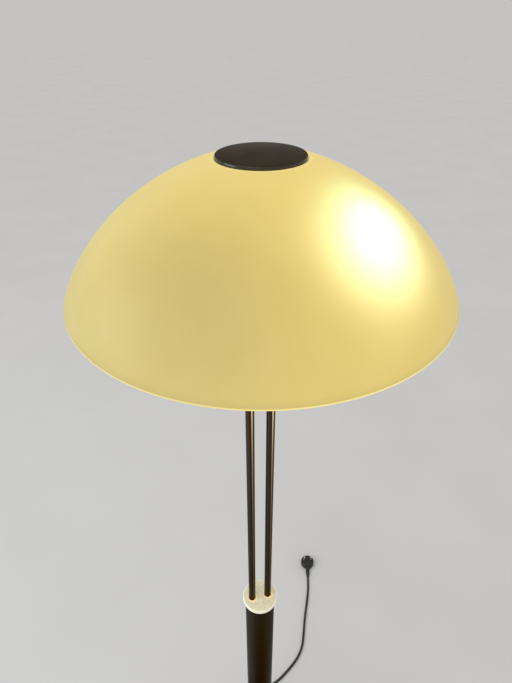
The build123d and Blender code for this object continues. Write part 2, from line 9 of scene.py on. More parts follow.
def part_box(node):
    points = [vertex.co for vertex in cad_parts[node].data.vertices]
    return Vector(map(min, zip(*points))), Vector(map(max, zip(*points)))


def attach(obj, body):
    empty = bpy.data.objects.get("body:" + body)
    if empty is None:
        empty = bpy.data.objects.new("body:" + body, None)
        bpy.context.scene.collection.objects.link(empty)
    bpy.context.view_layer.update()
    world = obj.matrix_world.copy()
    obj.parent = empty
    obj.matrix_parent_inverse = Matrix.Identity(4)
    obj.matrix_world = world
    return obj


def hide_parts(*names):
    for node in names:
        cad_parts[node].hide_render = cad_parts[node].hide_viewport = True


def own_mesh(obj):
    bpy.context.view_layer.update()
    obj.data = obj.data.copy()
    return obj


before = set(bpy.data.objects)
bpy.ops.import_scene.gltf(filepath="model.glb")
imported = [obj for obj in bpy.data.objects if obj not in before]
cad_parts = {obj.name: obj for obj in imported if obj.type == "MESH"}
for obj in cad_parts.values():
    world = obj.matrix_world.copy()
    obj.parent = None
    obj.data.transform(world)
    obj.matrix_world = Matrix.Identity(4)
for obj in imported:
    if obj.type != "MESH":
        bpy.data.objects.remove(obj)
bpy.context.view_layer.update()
print("frame loaded,", len(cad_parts), "nodes")

edgeRounding = 0.0003  # of cut steel edges
seatGap = 0.00005  # round a piece that is pushed into another


# helpers for objects and meshes


def linked(name, data):
    made = bpy.data.objects.new(name, data)
    bpy.context.scene.collection.objects.link(made)
    return made


def addObject(name, data, body, slot, *replaced):
    piece = linked(name, data)
    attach(piece, body)
    if replaced:
        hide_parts(*replaced)
    return piece


def smoothed(mesh, sharpAngle=35):
    mesh.shade_smooth()
    mesh.set_sharp_from_angle(angle=math.radians(sharpAngle))
    return mesh


def meshFrom(bm, name, sharpAngle=35):
    mesh = bpy.data.meshes.new(name)
    bm.to_mesh(mesh)
    bm.free()
    return smoothed(mesh, sharpAngle)


def addPiece(name, bm, body, slot, node, finish, sharpAngle=35):
    piece = addObject(name, meshFrom(bm, name, sharpAngle), body, slot, node)
    piece.data.materials.append(finish)
    return piece


def turnOutline(outline, steps, closed=False, alongX=False):
    # outline holds (radius, height) or (radius, height, rounding) points, spun about Z or X
    bm = bmesh.new()
    rounded = []
    verts = []
    for point in outline:
        radius, height = point[:2]
        verts.append(bm.verts.new((height, 0, radius) if alongX else (radius, 0, height)))
        if len(point) > 2:
            rounded.append((verts[-1], point[2]))
    pairs = list(zip(verts, verts[1:]))
    if closed:
        pairs.append((verts[-1], verts[0]))
    for first, second in pairs:
        bm.edges.new((first, second))
    for vert, rounding in rounded:
        bmesh.ops.bevel(
            bm, geom=[vert], offset=rounding, offset_type="OFFSET", affect="VERTICES",
            segments=4, profile=0.5, material=-1,
        )
    bmesh.ops.spin(
        bm, geom=bm.verts[:] + bm.edges[:], cent=(0, 0, 0),
        axis=(1, 0, 0) if alongX else (0, 0, 1), angle=2 * math.pi, steps=steps, use_merge=True,
    )
    bmesh.ops.remove_doubles(bm, verts=bm.verts, dist=1e-6)
    bmesh.ops.recalc_face_normals(bm, faces=bm.faces)
    return bm


def moved(bm, *place):
    bmesh.ops.translate(bm, verts=bm.verts, vec=place)
    return bm


def cutWith(mesh, cutters, operation="DIFFERENCE"):
    # a Boolean on the finished mesh, made real at once
    holder = linked("cutting", mesh)
    tools = []
    for cutter in cutters:
        tool = linked("cutter", cutter)
        change = holder.modifiers.new("cut", "BOOLEAN")
        change.object = tool
        change.operation = operation
        change.solver = "EXACT"
        tools.append(tool)
    graph = bpy.context.evaluated_depsgraph_get()
    result = bpy.data.meshes.new_from_object(holder.evaluated_get(graph))
    for thing in [holder, *tools]:
        bpy.data.objects.remove(thing)
    return result


def ripple(k, points):
    # 0 to 1 and back over the given number of points
    return 0.5 - 0.5 * math.cos(2 * math.pi * k / points)


# helpers for materials


def addNode(tree, kind, inputs=None, **settings):
    made = tree.nodes.new("ShaderNode" + kind)
    for key, value in settings.items():
        setattr(made, key, value)
    for key, value in (inputs or {}).items():
        if isinstance(value, bpy.types.NodeSocket):
            tree.links.new(value, made.inputs[key])
        else:
            made.inputs[key].default_value = value
    return made


def onNumbers(tree, operation, *values):
    return addNode(tree, "Math", dict(enumerate(values)), operation=operation).outputs[0]


def onVectors(tree, operation, *values):
    made = addNode(tree, "VectorMath", dict(enumerate(values)), operation=operation)
    return made.outputs["Value" if operation in ("LENGTH", "DISTANCE") else "Vector"]


def scaled(tree, vector, factor):
    return addNode(
        tree, "VectorMath", {0: vector, "Scale": factor}, operation="SCALE"
    ).outputs["Vector"]


def spanned(tree, factor, low, high, start=0.3, end=0.7, smooth=False):
    share = addNode(
        tree, "MapRange",
        {"Value": factor, "From Min": start, "From Max": end, "To Min": low, "To Max": high},
        interpolation_type="SMOOTHSTEP" if smooth else "LINEAR",
    )
    return share.outputs["Result"]


def mixed(tree, share, first, second):
    return addNode(tree, "Mix", {0: share, 6: first, 7: second}, data_type="RGBA").outputs[2]


def between(tree, factor, low, high, start=0.35, end=0.65):
    # two colours, mixed by a factor
    return mixed(tree, spanned(tree, factor, 0, 1, start, end), (*low, 1), (*high, 1))


def startMaterial(name, shaderValues=None):
    material = bpy.data.materials.new(name)
    material.use_nodes = True
    tree = material.node_tree
    shader = tree.nodes["Principled BSDF"]
    for key, value in (shaderValues or {}).items():
        shader.inputs[key].default_value = value
    return material, tree, shader


def objectPlace(tree):
    return addNode(tree, "TexCoord").outputs["Object"]


def flattened(tree, place):
    return onVectors(tree, "MULTIPLY", place, (1, 1, 0))


def fromAxis(tree, place):
    # distance from the lamp's upright axis
    return onVectors(tree, "LENGTH", flattened(tree, place))


def bell(tree, share):
    # 1 at 0, falling off smoothly to both sides
    squared = onNumbers(tree, "POWER", share, 2.0)
    return onNumbers(tree, "EXPONENT", onNumbers(tree, "MULTIPLY", squared, -1.0))


def glowBall(tree, place, centre, width):
    away = onVectors(tree, "DISTANCE", place, centre)
    return bell(tree, onNumbers(tree, "DIVIDE", away, width))


def speckle(tree, place, scale, detail=3.0, stretch=(1, 1, 1)):
    spread = addNode(tree, "Mapping", {"Vector": place, "Scale": stretch})
    found = addNode(
        tree, "TexNoise", {"Vector": spread.outputs["Vector"], "Scale": scale, "Detail": detail}
    )
    return found.outputs["Fac"]


def feed(tree, shader, name, socket):
    tree.links.new(socket, shader.inputs[name])


def shineWith(tree, shader, socket, strength=1.0):
    feed(tree, shader, "Emission Color", socket)
    shader.inputs["Emission Strength"].default_value = strength


def raised(tree, shader, height, strength, depth):
    bump = addNode(
        tree, "Bump", {"Height": height, "Strength": strength, "Distance": depth}
    )
    feed(tree, shader, "Normal", bump.outputs["Normal"])


def grainedFinish(name, facts):
    # darker and lighter patches, and a finer grain in the roughness and the relief
    material, tree, shader = startMaterial(name, facts.get("shader"))
    place = objectPlace(tree)
    patches = speckle(tree, place, *facts["patches"])
    grain = speckle(tree, place, *facts["grain"])
    rough = patches if facts.get("patchyShine") else grain
    feed(tree, shader, "Base Color", between(tree, patches, facts["dark"], facts["light"]))
    feed(tree, shader, "Roughness", spanned(tree, rough, *facts["roughness"]))
    raised(tree, shader, grain, *facts["relief"])
    return material


def mouldedPlastic(
    name, dark, light, roughness=(0.35, 0.5), grain=900, depth=0.00006, specular=0.45
):
    return grainedFinish(name, {
        "shader": {"Specular IOR Level": specular}, "dark": dark, "light": light,
        "patches": (60, 4), "grain": (grain, 2), "roughness": roughness, "relief": (0.35, depth),
    })


def turnRound(tree, place, centre):
    # the angle round an upright piece, 0 towards +X
    axes = addNode(tree, "SeparateXYZ", {0: place})
    across = onNumbers(tree, "SUBTRACT", axes.outputs["X"], centre)
    return onNumbers(tree, "ARCTAN2", axes.outputs["Y"], across)


def roundReflection(tree, place, centre, reflectionTones):
    # painted reflection: a tone that changes round an upright piece, standing in for the room that
    # polished steel would show
    turn = turnRound(tree, place, centre)
    ramp = addNode(tree, "ValToRGB", {0: spanned(tree, turn, 0, 1, -math.pi, math.pi)})
    ramp.color_ramp.interpolation = "B_SPLINE"
    stops = ramp.color_ramp.elements
    stops[0].color = (*reflectionTones[0][1], 1)
    stops[1].color = (*reflectionTones[-1][1], 1)
    for degrees, tone in reflectionTones[1:-1]:
        stops.new((degrees + 180) / 360).color = (*tone, 1)
    return ramp.outputs["Color"]


steelFacts = {
    "smudgeTones": (0.92, 1.08),
    "smudgeDetail": 4,
    "lineDetail": 3,
    "lineStrength": 0.25,
}


def drawnSteel(name, facts, centre=0.0):
    # drawn or turned metal: fine lines along the given stretch, a slow tone or a painted reflection
    # round the piece, and a few smudges
    material, tree, shader = startMaterial(
        name, {"Metallic": 1.0, "Specular Tint": (*facts["edgeTint"], 1)}
    )
    place = objectPlace(tree)
    smudge = speckle(tree, place, facts["smudgeScale"], steelFacts["smudgeDetail"])
    along = place
    if facts.get("rings"):
        along = addNode(tree, "CombineXYZ", {"X": fromAxis(tree, place)}).outputs[0]
    lines = speckle(
        tree, along, facts["lineScale"], steelFacts["lineDetail"], facts["stretch"]
    )
    # a painted reflection round the piece, where the finish lists one
    if facts.get("reflectionTones"):
        tone = roundReflection(tree, place, centre, facts["reflectionTones"])
        colour = scaled(tree, tone, spanned(tree, smudge, *steelFacts["smudgeTones"]))
    else:
        colour = between(tree, smudge, facts["dark"], facts["light"])
    feed(tree, shader, "Base Color", colour)
    spread = facts["lineRoughness"]
    rough = onNumbers(
        tree, "ADD", spanned(tree, lines, -spread, spread),
        spanned(tree, smudge, *facts["roughness"]),
    )
    feed(tree, shader, "Roughness", rough)
    raised(tree, shader, lines, steelFacts["lineStrength"], facts["lineDepth"])
    return material


# camera: where the photo was taken from

cameraFacts = {
    "place": (-0.0979, -0.4105, 1.475),
    "lookDown": 34.76,  # degrees below level
    "turn": -12.79,  # degrees about Z from looking along +Y
    "roll": -0.2,
    "lens": 27.04,
    "reach": 500,
}


def setCamera():
    facts = cameraFacts
    data = bpy.data.cameras.new("viewCamera")
    data.lens = facts["lens"]
    data.clip_end = facts["reach"]
    camera = linked("viewCamera", data)
    camera.location = facts["place"]
    look = Matrix.Rotation(math.radians(facts["turn"]), 3, "Z")
    look @= Matrix.Rotation(math.radians(90 - facts["lookDown"]), 3, "X")
    look @= Matrix.Rotation(math.radians(facts["roll"]), 3, "Z")
    camera.rotation_euler = look.to_euler()
    bpy.context.scene.camera = camera


setCamera()


# cord: out of the foot, into its coil behind the stem, then over the floor to the plug

cordFacts = {
    "radius": 0.003,
    "glandHeight": 0.007,
    "reliefEnd": -0.147,
    "exitRun": 0.011,
    "coilReach": 0.191,  # the coil's centre from the lamp's axis
    "coilRadius": 0.0455,
    "coilStraight": 0.006,
    "turns": 6.5,
    "pitch": 0.0065,
    "climb": 0.5,  # turns in which it climbs to the upper layer
    "pointsPerTurn": 14,
    "length": 2.07,
    "sheath": {
        "dark": (0.011, 0.0105, 0.0105), "light": (0.02, 0.019, 0.0185),
        "patches": (35, 4), "grain": (700, 2), "roughness": (0.34, 0.46), "relief": (0.3, 0.00005),
    },
}

cordRoute = [
    (-0.185, 0.091, 0.0095),
    (-0.171, 0.091, 0.0095),
    (-0.145, 0.0925, 0.0046),
    (-0.111, 0.100, 0.003),
    (-0.075, 0.117, 0.003),
    (-0.036, 0.131, 0.003),
    (0.004, 0.137, 0.003),
    (0.043, 0.140, 0.003),
    (0.081, 0.148, 0.003),
    (0.116, 0.168, 0.003),
    (0.147, 0.189, 0.003),
    (0.169, 0.214, 0.003),
    (0.182, 0.244, 0.003),
    (0.194, 0.275, 0.003),
    (0.208, 0.307, 0.003),
    (0.223, 0.339, 0.003),
    (0.237, 0.3725, 0.003),
    (0.246, 0.406, 0.003),
]


def cordPoints():
    facts = cordFacts
    exitHeight = facts["glandHeight"]
    coilStart = -facts["coilReach"] + facts["coilStraight"]
    points = [
        (facts["reliefEnd"], 0, exitHeight),
        (facts["reliefEnd"] - facts["exitRun"], 0, exitHeight),
        (coilStart + facts["exitRun"], 0, facts["radius"]),
        (coilStart, 0, facts["radius"]),
    ]
    half = facts["turns"] / 2
    count = round(facts["turns"] * facts["pointsPerTurn"])
    for k in range(count + 1):
        u = facts["turns"] * k / count
        turn = -math.pi / 2 - 2 * math.pi * u
        radius = facts["coilRadius"] - facts["pitch"] * (half - abs(u - half))
        share = min(max((u - half) / facts["climb"] + 0.5, 0), 1)
        height = facts["radius"] + facts["pitch"] * share * share * (3 - 2 * share)
        x = -facts["coilReach"] + radius * math.cos(turn)
        points.append((x, facts["coilRadius"] + radius * math.sin(turn), height))
    return points + cordRoute


def makeCord():
    curve = bpy.data.curves.new("mainsCord", "CURVE")
    curve.dimensions = "3D"
    curve.bevel_depth = cordFacts["radius"]
    curve.bevel_resolution = 5
    curve.resolution_u = 8
    curve.use_fill_caps = True
    spline = curve.splines.new("NURBS")
    points = cordPoints()
    spline.points.add(len(points) - 1)
    for point, place in zip(spline.points, points):
        point.co = (*place, 1)
    spline.order_u = 3
    spline.use_endpoint_u = True
    curve.materials.append(grainedFinish("cordSheath", cordFacts["sheath"]))
    return addObject(
        "mainsCord", curve, "base", "cord_black", "cord_exit", "cord_coil", "cord_free"
    )


mainsCord = makeCord()
print("cord laid")


# shade: an opal dome, its wall and crown ring turned as one outline

shadeFacts = {
    "wall": 0.003,
    "crownRadius": 0.0396,
    "lipRadius": 0.0384,
    "recess": 0.0015,
    "holeRadius": 0.026,
    "crownSlope": 16.9,
    "crownReach": 0.0996,
    "rimSlope": 83.8,
    "rimReach": 0.0147,
    "stations": 40,
    "steps": 176,
    "rimRounding": 0.0011,
    "lipRounding": 0.0005,
}


def domeCurve(crown, rim, crownReach, rimReach):
    crownWay = Vector((1, 0)) @ Matrix.Rotation(math.radians(shadeFacts["crownSlope"]), 2)
    rimWay = Vector((1, 0)) @ Matrix.Rotation(math.radians(shadeFacts["rimSlope"]), 2)
    crown = Vector(crown)
    rim = Vector(rim)
    curve = interpolate_bezier(
        crown.to_3d(), (crown + crownWay * crownReach).to_3d(),
        (rim - rimWay * rimReach).to_3d(), rim.to_3d(), shadeFacts["stations"],
    )
    return [(point.x, point.y) for point in curve]


def shadeOutline():
    facts = shadeFacts
    low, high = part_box("shade")
    wall, lip = facts["wall"], facts["lipRadius"]
    floorHeight = high.z - facts["recess"]
    under = floorHeight - wall
    outer = domeCurve(
        (facts["crownRadius"], high.z), (high.x, low.z), facts["crownReach"], facts["rimReach"]
    )
    inner = domeCurve(
        (lip, under), (high.x - wall, low.z),
        facts["crownReach"] - 2 * wall, facts["rimReach"] - wall / 2,
    )
    outer[0] = (*outer[0], facts["lipRounding"])
    outer[-1] = (*outer[-1], facts["rimRounding"])
    inner[-1] = (*inner[-1], facts["rimRounding"])
    crown = [
        (facts["holeRadius"], under),
        (facts["holeRadius"], floorHeight),
        (lip, floorHeight),
        (lip, high.z, facts["lipRounding"]),
    ]
    return outer + inner[::-1] + crown


# light through the shade: a level glow, dimmer away from the bulb and bright beside it

glowFacts = {
    "level": (0.28, 0.251, 0.0965),
    "dimPlace": (-0.1135, -0.2436, 1.4759),
    "dimWidth": 0.1198,
    "dimTone": (7.86, 5.756, 1.696),
    "brightSpots": [  # place, width and tone
        ((0.0631, -0.0688, 1.318), 0.0286, (0.584, 1.553, 0.926)),
        ((0.0482, -0.0824, 1.2904), 0.031, (5.80, 6.0, 3.456)),
    ],
    "haloPlace": (0, -0.0477, 1.25),
    "haloWidth": 0.1296,
    "haloTone": (0.833, 0.522, 0.03),
    "backShare": 0.4,  # how much of the bright patch the back of the dome shows
    "backReach": 0.05,
    "rimBand": 0.01,  # height over which the rim's tones are spread
    "rimBandEnd": 0.75,  # share of it at which the plain wall starts
    "rimStep": 0.06,
    "rimLine": 0.0014,
    "rimShadow": 0.0042,
    # painted highlight along the rim's lower edge
    "rimLineLight": (1.5, 1.6, 2.25),
    # painted shade just above the rim
    "rimShade": 0.86,
    "lipWidth": 0.0022,
    "lipBlend": 0.0006,
    "lipLightTone": (1.06, 1.10, 1.45),
    "toneRange": 2.5,  # tones in the ramp are kept as shares of this
    "cloud": (14, 3),
    "cloudRange": (0.985, 1.015),
    "gloss": 0.3,
    "skinDark": (0.24, 0.21, 0.105),
    "skinLight": (0.27, 0.235, 0.125),
    "skinGrain": (420, 2),
    "skinRoughness": (0.44, 0.52),
    "skinWaves": (22, 2),
    "skinRelief": (0.12, 0.0004),
}


def lightThrough(tree, axes):
    facts = glowFacts
    depth = onNumbers(tree, "ABSOLUTE", axes.outputs["Y"])
    front = onNumbers(tree, "MULTIPLY", depth, -1.0)
    folded = addNode(
        tree, "CombineXYZ", {0: axes.outputs["X"], 1: front, 2: axes.outputs["Z"]}
    ).outputs[0]
    dim = glowBall(tree, folded, facts["dimPlace"], facts["dimWidth"])
    halo = glowBall(tree, folded, facts["haloPlace"], facts["haloWidth"])
    backward = spanned(
        tree, axes.outputs["Y"], 1.0, facts["backShare"], 0.0, facts["backReach"], smooth=True
    )
    lit = onVectors(tree, "SUBTRACT", facts["level"], scaled(tree, facts["dimTone"], dim))
    lit = onVectors(tree, "ADD", lit, scaled(tree, facts["haloTone"], halo))
    for spot, width, tone in facts["brightSpots"]:
        bright = glowBall(tree, folded, spot, width)
        shown = onNumbers(tree, "MULTIPLY", bright, backward)
        lit = onVectors(tree, "ADD", lit, scaled(tree, tone, shown))
    return lit


def rimLightAndShade(tree, height):
    # painted light and shade: a bright line along the rim's edge, with a darker painted shade above
    # it
    facts = glowFacts
    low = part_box("shade")[0]
    band = addNode(
        tree, "ValToRGB", {0: spanned(tree, height, 0, 1, low.z, low.z + facts["rimBand"])}
    )
    stops = band.color_ramp.elements
    lineEnd = facts["rimLine"] / facts["rimBand"]
    stops[0].position, stops[1].position = lineEnd, facts["rimBandEnd"]
    stops.new(lineEnd + facts["rimStep"])
    stops.new(facts["rimShadow"] / facts["rimBand"])
    dark = facts["rimShade"]
    tones = (facts["rimLineLight"], [dark] * 3, [(dark + 1) / 2] * 3, [1] * 3)
    for stop, tone in zip(stops, tones):
        stop.color = [part / facts["toneRange"] for part in tone] + [1]
    return band.outputs["Color"]


def lipLight(tree, place):
    # painted light: the lip round the cap is brighter than the wall beside it
    facts = glowFacts
    end = shadeFacts["crownRadius"] + facts["lipWidth"]
    beyond = spanned(tree, fromAxis(tree, place), 0, 1, end - facts["lipBlend"], end, smooth=True)
    return mixed(tree, beyond, (*facts["lipLightTone"], 1), (1, 1, 1, 1))


def opalAcrylic():
    facts = glowFacts
    material, tree, shader = startMaterial("opalAcrylic", {"Specular IOR Level": facts["gloss"]})
    place = objectPlace(tree)
    axes = addNode(tree, "SeparateXYZ", {0: place})
    cloud = speckle(tree, place, *facts["cloud"])
    edged = onVectors(tree, "MULTIPLY", lightThrough(tree, axes), rimLightAndShade(tree, axes.outputs["Z"]))
    lipped = onVectors(tree, "MULTIPLY", edged, lipLight(tree, place))
    finished = scaled(tree, lipped, facts["toneRange"])
    shineWith(tree, shader, scaled(tree, finished, spanned(tree, cloud, *facts["cloudRange"])))
    skin = between(tree, cloud, facts["skinDark"], facts["skinLight"])
    feed(tree, shader, "Base Color", skin)
    fine = speckle(tree, place, *facts["skinGrain"])
    feed(tree, shader, "Roughness", spanned(tree, fine, *facts["skinRoughness"]))
    waves = speckle(tree, place, *facts["skinWaves"])
    raised(tree, shader, waves, *facts["skinRelief"])
    return material


dome = turnOutline(shadeOutline(), shadeFacts["steps"], closed=True)
addPiece("domeShade", dome, "shade", "shade_acrylic", "shade", opalAcrylic())
print("shade turned")


# cap: a shallow glossy disc in the crown's recess

capFacts = {
    "edge": 0.004,
    "draft": 0.0006,  # how much narrower its side is at the top
    "rounding": 0.0008,
    "footRounding": 0.0002,
    "stations": 9,
    "steps": 128,
    "gloss": (0.5, 0.004),  # of its polished side, and of its top
    "glossBlend": 0.0006,
    "lacquer": {
        "dark": (0.034, 0.0255, 0.0145), "light": (0.046, 0.034, 0.019),
        "shader": {"IOR": 1.45}, "patches": (38, 4), "grain": (1400, 2),
        "roughness": (0.10, 0.20), "relief": (0.15, 0.00003),
    },
}


def capLacquer(edgeTop):
    material = grainedFinish("capLacquer", capFacts["lacquer"])
    tree = material.node_tree
    height = addNode(tree, "SeparateXYZ", {0: objectPlace(tree)}).outputs["Z"]
    gloss = spanned(tree, height, *capFacts["gloss"], edgeTop - capFacts["glossBlend"], edgeTop)
    feed(tree, tree.nodes["Principled BSDF"], "Specular IOR Level", gloss)
    return material


def makeCap():
    facts = capFacts
    low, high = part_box("cap")
    edgeTop = low.z + facts["edge"]
    crown = high.z - edgeTop
    wide = high.x - facts["draft"]
    outline = [
        (0, low.z), (high.x, low.z, facts["footRounding"]), (wide, edgeTop, facts["rounding"])
    ]
    for k in range(1, facts["stations"] + 1):
        radius = wide * (1 - k / facts["stations"])
        outline.append((radius, edgeTop + crown * (1 - (radius / wide) ** 2)))
    bm = turnOutline(outline, facts["steps"])
    addPiece("crownCap", bm, "cap", "cap_dark", "cap", capLacquer(edgeTop))


makeCap()
print("cap turned")


# rods and stem: polished tubes, with painted reflections whose tones are listed by degrees from +X

rodFacts = {
    "wall": 0.0015,
    "steps": 48,
    "finish": {
        "edgeTint": (0.45, 0.43, 0.44), "roughness": (0.16, 0.24), "lineRoughness": 0.03,
        "lineScale": 900, "lineDepth": 0.00002, "smudgeScale": 22, "stretch": (1, 1, 0.01),
        # painted reflection round each rod
        "reflectionTones": [
            (-180, (0.095, 0.088, 0.088)),
            (-150, (0.100, 0.088, 0.080)),
            (-116, (0.066, 0.050, 0.034)),
            (-94, (0.030, 0.020, 0.010)),
            (-78, (0.070, 0.048, 0.026)),
            (-62, (0.140, 0.102, 0.064)),
            (-45, (0.120, 0.086, 0.054)),
            (0, (0.090, 0.068, 0.044)),
            (60, (0.055, 0.045, 0.038)),
            (120, (0.095, 0.088, 0.088)),
            (180, (0.080, 0.082, 0.100)),
        ],
    },
    "gleamSource": (0.07, -0.07, 1.285),  # the lit bulb's side of the shade
    "gleamTurn": -75,  # degrees from +X
    "gleamWidth": 7,
    "gleamNear": 0.219,
    "gleamFade": 3.8,
    "gleamTone": (0.92, 0.70, 0.38),
}

stemFacts = {
    "wall": 0.0016,
    "steps": 112,
    "finish": {
        "edgeTint": (0.42, 0.41, 0.41), "roughness": (0.20, 0.30), "lineRoughness": 0.04,
        "lineScale": 700, "lineDepth": 0.00002, "smudgeScale": 16, "stretch": (1, 1, 0.012),
        # painted reflection round the tube
        "reflectionTones": [
            (-180, (0.118, 0.104, 0.096)),
            (-152, (0.108, 0.097, 0.083)),
            (-124, (0.040, 0.030, 0.020)),
            (-100, (0.038, 0.022, 0.009)),
            (-76, (0.046, 0.034, 0.018)),
            (-50, (0.085, 0.070, 0.048)),
            (0, (0.088, 0.070, 0.060)),
            (50, (0.110, 0.095, 0.080)),
            (100, (0.070, 0.056, 0.044)),
            (150, (0.118, 0.104, 0.098)),
            (180, (0.118, 0.102, 0.100)),
        ],
    },
}


def addGleam(material, centre):
    # the lamp's own light on the rod, brightest under the shade
    facts = rodFacts
    tree = material.node_tree
    place = objectPlace(tree)
    turn = turnRound(tree, place, centre)
    away = onNumbers(tree, "SUBTRACT", turn, math.radians(facts["gleamTurn"]))
    band = bell(tree, onNumbers(tree, "DIVIDE", away, math.radians(facts["gleamWidth"])))
    reach = onVectors(tree, "DISTANCE", place, facts["gleamSource"])
    ratio = onNumbers(tree, "DIVIDE", facts["gleamNear"], reach)
    fade = onNumbers(tree, "POWER", ratio, facts["gleamFade"])
    tone = scaled(tree, facts["gleamTone"], onNumbers(tree, "MULTIPLY", band, fade))
    shineWith(tree, tree.nodes["Principled BSDF"], tone)
    return material


def turnPipe(low, high, radius, facts):
    bore = radius - facts["wall"]
    corners = [(bore, low.z), (radius, low.z), (radius, high.z), (bore, high.z)]
    outline = [(*corner, edgeRounding) for corner in corners]
    return turnOutline(outline, facts["steps"], closed=True)


def makeRods():
    for node in ("rod_left", "rod_right"):
        low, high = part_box(node)
        radius = (high.x - low.x) / 2
        centre = low.x + radius
        bm = moved(turnPipe(low, high, radius, rodFacts), centre, 0, 0)
        side = "Left" if centre < 0 else "Right"
        steel = addGleam(drawnSteel("rodSteel" + side, rodFacts["finish"], centre), centre)
        addPiece("rod" + side, bm, "head", "rod_steel", node, steel)


def makeStem():
    low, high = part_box("stem_tube")
    bm = turnPipe(low, high, high.x, stemFacts)
    steel = drawnSteel("tubeSteel", stemFacts["finish"])
    addPiece("stemTube", bm, "base", "tube_steel", "stem_tube", steel)


# foot: a steel dish over the weight, with a rosette round the stem

footFacts = {
    "coverWall": 0.0012,
    "coverRounding": 0.005,
    "rosetteRounding": 0.003,
    "steps": 160,
    "finish": {
        "dark": (0.046, 0.038, 0.034), "light": (0.066, 0.056, 0.052),
        "edgeTint": (0.60, 0.59, 0.60), "roughness": (0.24, 0.34), "lineRoughness": 0.05,
        "lineScale": 900, "lineDepth": 0.00003, "smudgeScale": 12, "stretch": (1, 1, 1),
        "rings": True,
    },
}


def makeFoot():
    facts = footFacts
    finish = drawnSteel("footSteel", facts["finish"])
    low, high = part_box("foot_cover")
    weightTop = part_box("foot_weight")[1].z
    outer, wall = high.x, facts["coverWall"]
    inner = outer - wall
    outline = [
        (0, weightTop),
        (inner, weightTop, facts["coverRounding"] - wall),
        (inner, low.z, edgeRounding),
        (outer, low.z, edgeRounding),
        (outer, high.z, facts["coverRounding"]),
        (0, high.z),
    ]
    bm = turnOutline(outline, facts["steps"])
    addPiece("footCover", bm, "base", "tube_steel", "foot_cover", finish)

    low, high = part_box("stem_rosette")
    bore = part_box("stem_tube")[1].x + seatGap
    outline = [
        (bore, low.z), (high.x, low.z), (high.x, high.z, facts["rosetteRounding"]),
        (bore, high.z, edgeRounding),
    ]
    bm = turnOutline(outline, facts["steps"], closed=True)
    addPiece("stemRosette", bm, "base", "tube_steel", "stem_rosette", finish)


makeRods()
makeStem()
makeFoot()
print("steel pieces turned")


# collar: the cream guide on the tube's top, with a countersunk hole for each rod

collarFacts = {
    "rounding": 0.0016,
    "spigotRounding": 0.0005,
    "countersink": 0.0009,
    "holeGap": 0.00008,
    "steps": 112,
    "holeSteps": 64,
    "softEdge": 0.0002,
    "cream": (0.74, 0.68, 0.47),
    "creamPale": (0.84, 0.79, 0.60),
    # painted light: warm crescents round the rod holes, where the bulb's light falls
    "warm": (0.93, 0.76, 0.40),
    "holeLightShift": -0.0012,  # the painted light round each hole reaches further at the front
    "holeLightReach": 0.0044,
    "holeLightGlow": (0.28, 0.20, 0.07),
    "middleGlow": (0.09, 0.08, 0.05),  # the shade's light between the rods
    "middleWidth": 0.009,
    # painted highlight along the collar's rounded edge
    "edgeHighlight": (0.24, 0.24, 0.22),
    "edgeInset": 0.0004,
    "gloss": 0.4,
    "patches": (190, 5),
    "patchRange": (0.38, 0.62),
    "grain": (900, 2),
    "roughness": (0.30, 0.42),
    "relief": (0.25, 0.00012),
}


def collarPlastic(rodPlaces, rodRadius):
    facts = collarFacts
    material, tree, shader = startMaterial(
        "collarPlastic", {"Specular IOR Level": facts["gloss"]}
    )
    place = objectPlace(tree)
    patches = speckle(tree, place, *facts["patches"])
    fine = speckle(tree, place, *facts["grain"])
    colour = between(
        tree, patches, facts["cream"], facts["creamPale"], *facts["patchRange"]
    )
    # painted light: a warm crescent round each rod hole, mixed into the colour
    rings = []
    for x in rodPlaces:
        spot = (x, facts["holeLightShift"], 0)
        away = onVectors(tree, "DISTANCE", flattened(tree, place), spot)
        end = rodRadius + facts["holeLightReach"]
        rings.append(spanned(tree, away, 1.0, 0.0, rodRadius, end, smooth=True))
        colour = mixed(tree, rings[-1], colour, (*facts["warm"], 1))
    height = addNode(tree, "SeparateXYZ", {0: place}).outputs["Z"]
    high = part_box("collar")[1]
    sink, inset = facts["countersink"], facts["edgeInset"]
    onTop = spanned(tree, height, 0, 1, high.z - 2 * sink, high.z - sink)
    # the crescents also glow on the top, with painted light between the rods and a painted
    # highlight at the edge
    holeLight = onNumbers(tree, "MULTIPLY", onNumbers(tree, "MAXIMUM", *rings), onTop)
    middle = glowBall(tree, place, (0, 0, high.z), facts["middleWidth"])
    out = fromAxis(tree, place)
    edge = spanned(tree, out, 0, 1, high.x - facts["rounding"], high.x - inset)
    shine = scaled(tree, facts["holeLightGlow"], holeLight)
    for tone, share in ((facts["middleGlow"], middle), (facts["edgeHighlight"], edge)):
        shine = onVectors(tree, "ADD", shine, scaled(tree, tone, share))
    shineWith(tree, shader, shine)
    feed(tree, shader, "Base Color", colour)
    feed(tree, shader, "Roughness", spanned(tree, fine, *facts["roughness"]))
    raised(tree, shader, patches, *facts["relief"])
    return material


